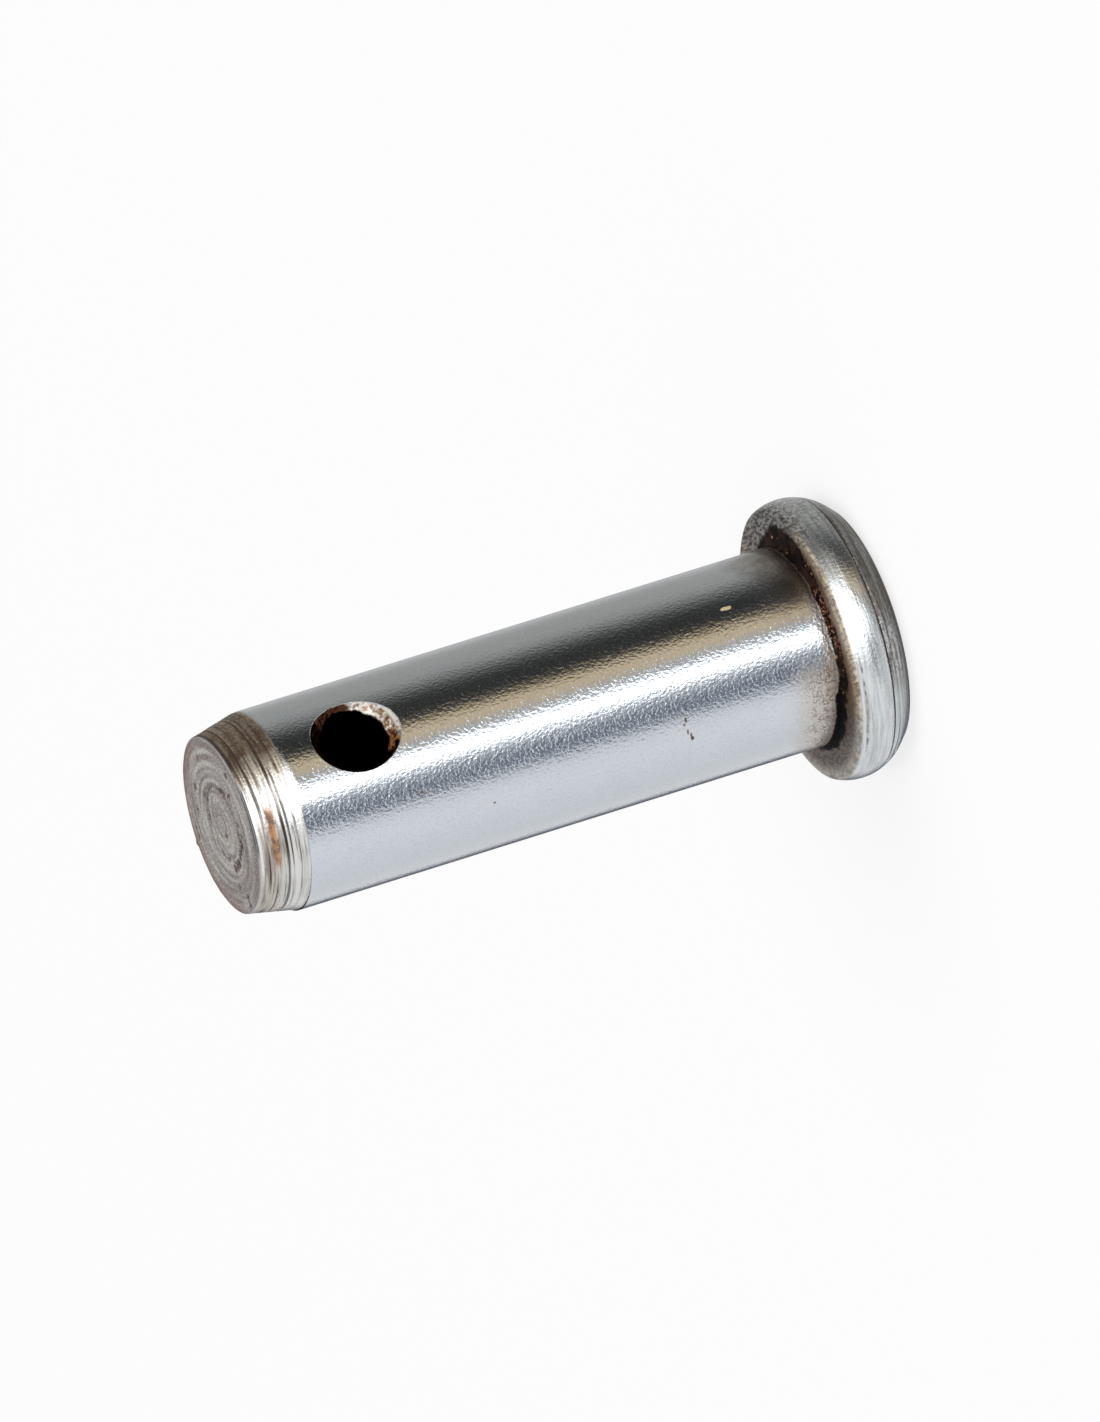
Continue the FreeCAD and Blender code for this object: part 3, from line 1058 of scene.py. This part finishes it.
# What the steel mirrors, by direction round the pin: degrees from the camera's side, counted towards the
# side of the cross hole, then brightness and tint
COOL = (0.92, 1.0, 1.06)
PLAIN = (1.0, 1.0, 1.0)
WARM = (1.03, 1.01, 0.94)
TAN = (1.28, 1.0, 0.64)
BLUE = (0.84, 0.92, 1.15)
SURROUNDINGS = [
    (-180, 0.13, BLUE), (-158, 0.17, BLUE), (-149, 0.93, PLAIN), (-120, 0.92, PLAIN), (-64, 1.06, PLAIN),
    (-50, 1.00, PLAIN), (-43, 0.88, PLAIN), (-37, 0.46, COOL), (-31, 0.24, BLUE), (-24, 0.24, BLUE),
    (-14, 0.44, COOL), (-6, 0.80, PLAIN), (22, 0.52, PLAIN), (30, 0.64, TAN), (38, 0.68, TAN),
    (44, 0.40, TAN), (49, 0.13, TAN), (54, 0.06, WARM), (62, 0.04, WARM), (71, 0.045, WARM),
    (79, 0.08, WARM), (86, 0.16, WARM), (94, 0.29, WARM), (103, 0.42, WARM), (112, 0.46, WARM),
    (140, 0.48, WARM), (160, 0.62, PLAIN), (172, 0.55, PLAIN), (180, 0.13, BLUE),
]

# A colour ramp holds values up to 1, so these brightnesses are divided by their top and multiplied again
RAMP_TOP = 1.3

# Higher up, the dark card on the upper side is narrower and not so dark: where the change starts and is full, in
# degrees above level, from and to which direction, how soft its ends are, its share and its colour
HIGH_CARDS = [
    (-16, -2, 24, 46, 6, 1, (1.2, 1.19, 1.14, 1)),
    (-16, 2, 46, 64, 6, 0.9, (0.86, 0.82, 0.72, 1)),
    (4, 20, 66, 100, 8, 0.7, (0.34, 0.33, 0.30, 1)),
]

# The strip light, narrow low down and wider above: middle and half width in degrees
STRIP_LEVEL = 2.7
STRIP_LOW = (5.4, 8.6)
STRIP_HIGH = (8, 28)


def sine(degrees):
    return math.sin(math.radians(degrees))


def mirrored_room(g):
    """Brightness and colour of the surroundings that the steel mirrors."""
    way = g.node("ShaderNodeTexCoord").outputs["Generated"]
    forward = g.vector("DOT_PRODUCT", way, tuple(TOWARDS))
    sideways = g.vector("DOT_PRODUCT", way, tuple(ASIDE))
    height = g.vector("DOT_PRODUCT", way, (0, 0, 1))
    turn = g.degrees(sideways, forward)
    ramp = g.node("ShaderNodeValToRGB", {0: g.affine(turn, 1 / 360, 0.5)})
    elements = ramp.color_ramp.elements
    elements.remove(elements[-1])
    for number, (degrees, level, tint) in enumerate(SURROUNDINGS):
        position = degrees / 360 + 0.5
        element = elements[0] if number == 0 else elements.new(position)
        element.position = position
        element.color = (*(level * part / RAMP_TOP for part in tint), 1)
    mirrored = g.scale(ramp.outputs[0], RAMP_TOP)

    # The grey card on the lower side stands low, and the room is white above and below it
    beside_card = g.times(g.minus(1, g.band(height, sine(-30), sine(-15), 0.04)), g.band(turn, -60, 0, 10))
    mirrored = g.mix(beside_card, mirrored, (1.05, 1.05, 1.03, 1))

    for lowest, full, start, end, soft, share, colour in HIGH_CARDS:
        card = g.times(g.step(height, sine(lowest), sine(full)), g.band(turn, start, end, soft))
        mirrored = g.mix(g.times(card, share), mirrored, colour)

    # Steeply down the floor near the head lies in shade, deeper on the upper side
    steep = g.step(height, sine(-26), sine(-58))
    shade = g.blend(g.band(turn, -140, -40, 20), 0.62, 0.95)
    mirrored = g.mix(steep, mirrored, g.scale(mirrored, shade))

    # Behind and above, the room is pale
    behind = g.times(g.step(g.math("ABSOLUTE", turn), 110, 150), g.step(height, 0.1, 0.28))
    mirrored = g.mix(behind, mirrored, (0.88, 0.88, 0.88, 1))
    mirrored = g.mix(g.step(height, sine(38), sine(60)), mirrored, (0.8, 0.8, 0.8, 1))

    upper = g.step(height, sine(-16), sine(-5))
    middle = g.blend(upper, STRIP_LOW[0], STRIP_HIGH[0])
    half = g.blend(upper, STRIP_LOW[1], STRIP_HIGH[1])
    beyond = g.minus(g.math("ABSOLUTE", g.minus(turn, middle)), half)
    strip = g.times(g.step(beyond, 4, -4), g.step(height, sine(-34), sine(-18)),
                    g.step(height, sine(48), sine(34)))
    return g.mix(strip, mirrored, (STRIP_LEVEL, STRIP_LEVEL, STRIP_LEVEL, 1))


def make_world():
    """White to the camera, the mirrored room to the steel, and even grey light for all else."""
    world = bpy.data.worlds.new("studio")
    bpy.context.scene.world = world
    world.use_nodes = True
    world.node_tree.nodes.clear()
    g = Graph(world.node_tree)
    light_path = g.node("ShaderNodeLightPath")
    colour = g.mix(light_path.outputs["Is Glossy Ray"], (AMBIENT, AMBIENT, AMBIENT, 1), mirrored_room(g))
    colour = g.mix(light_path.outputs["Is Camera Ray"], colour, WHITE)
    background = g.node("ShaderNodeBackground", {"Color": colour})
    g.node("ShaderNodeOutputWorld", {"Surface": background.outputs[0]})


def make_lamp():
    """A round softbox, high up on the camera's side; the steel mirrors the room, not the lamp."""
    data = bpy.data.lights.new("softbox", "AREA")
    data.shape = "DISK"
    data.size = 2 * LAMP_DISTANCE * math.tan(math.radians(LAMP_SPREAD / 2))
    # A disk lamp of power P lights a far surface that faces it with P / (pi * distance ** 2)
    data.energy = LAMP_LEVEL * math.pi * math.pi * LAMP_DISTANCE ** 2
    lamp = new_object("softbox", data)
    back = direction(LAMP_AZIMUTH, LAMP_ELEVATION)
    lamp.location = back * LAMP_DISTANCE
    lamp.rotation_mode = "QUATERNION"
    lamp.rotation_quaternion = (-back).to_track_quat("-Z", "Y")
    lamp.visible_camera = False
    lamp.visible_glossy = False


pin = build_pin()
pin.data.materials.append(pin_material())
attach(pin, "root")
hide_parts("clevis_pin")

bpy.context.scene.view_settings.view_transform = "Standard"
make_floor()
make_world()
make_lamp()
make_camera()
